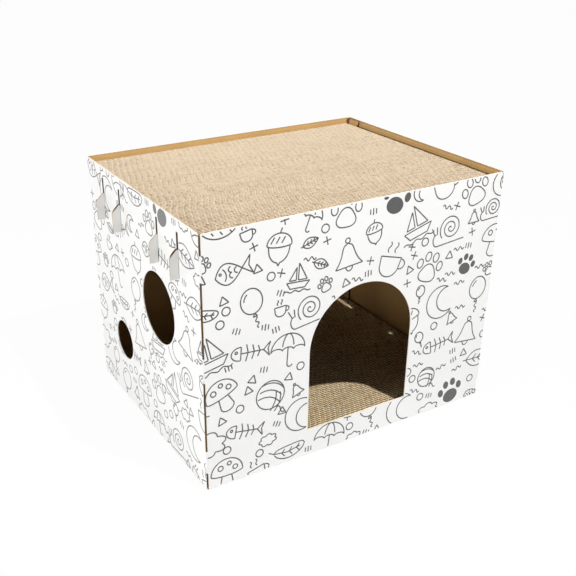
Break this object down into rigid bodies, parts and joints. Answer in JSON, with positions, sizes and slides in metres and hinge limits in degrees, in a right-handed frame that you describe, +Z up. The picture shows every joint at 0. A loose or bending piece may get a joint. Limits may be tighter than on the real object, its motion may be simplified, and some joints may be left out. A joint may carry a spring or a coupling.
{
  "type": "cat house",
  "caption": "Folded corrugated-board cat house with an arched door, round peep holes, hooked support beams, a scratch pad let into the top and one on the floor.",
  "frame": {"origin": "on the ground under the middle of the house", "axes": "+Z up, the door faces -Y, +X to the right seen from the front"},
  "size_m": [0.452, 0.332, 0.328],
  "materials": {
    "printed_board": "white-lined corrugated board with a dark line print outside and kraft inside",
    "plain_board": "white-lined corrugated board, unprinted",
    "kraft_board": "kraft-lined corrugated board",
    "scratch_pad": "cut edges of corrugated strips on edge"
  },
  "bodies": {
    "sleeve": {"front_wall": "printed_board", "right_wall": "printed_board", "back_wall": "printed_board", "left_wall": "printed_board", "glue_flap": "kraft_board"},
    "front_beam": {"front_beam_deck": "plain_board", "front_beam_near_web": "plain_board", "front_beam_far_web": "plain_board"},
    "back_beam": {"back_beam_deck": "plain_board", "back_beam_near_web": "plain_board", "back_beam_far_web": "plain_board"},
    "top_pad": {"top_pad_strips": "scratch_pad"},
    "floor_pad": {"floor_pad_strips": "scratch_pad"}
  },
  "joints": [
    {"name": "back_beam_lift", "type": "slide", "parent": "sleeve", "child": "back_beam", "axis": [0, 0, 1], "range_m": [0, 0.019]},
    {"name": "front_beam_lift", "type": "slide", "parent": "sleeve", "child": "front_beam", "axis": [0, 0, 1], "range_m": [0, 0.019]},
    {"name": "top_pad_lift", "type": "slide", "parent": "back_beam", "child": "top_pad", "axis": [0, 0, 1], "range_m": [0, 0.12]},
    {"name": "floor_pad_lift", "type": "slide", "parent": "sleeve", "child": "floor_pad", "axis": [0, 0, 1], "range_m": [0, 0.21]}
  ],
  "couplings": [
    {"joint": "front_beam_lift", "follows": "back_beam_lift", "ratio": 1}
  ]
}
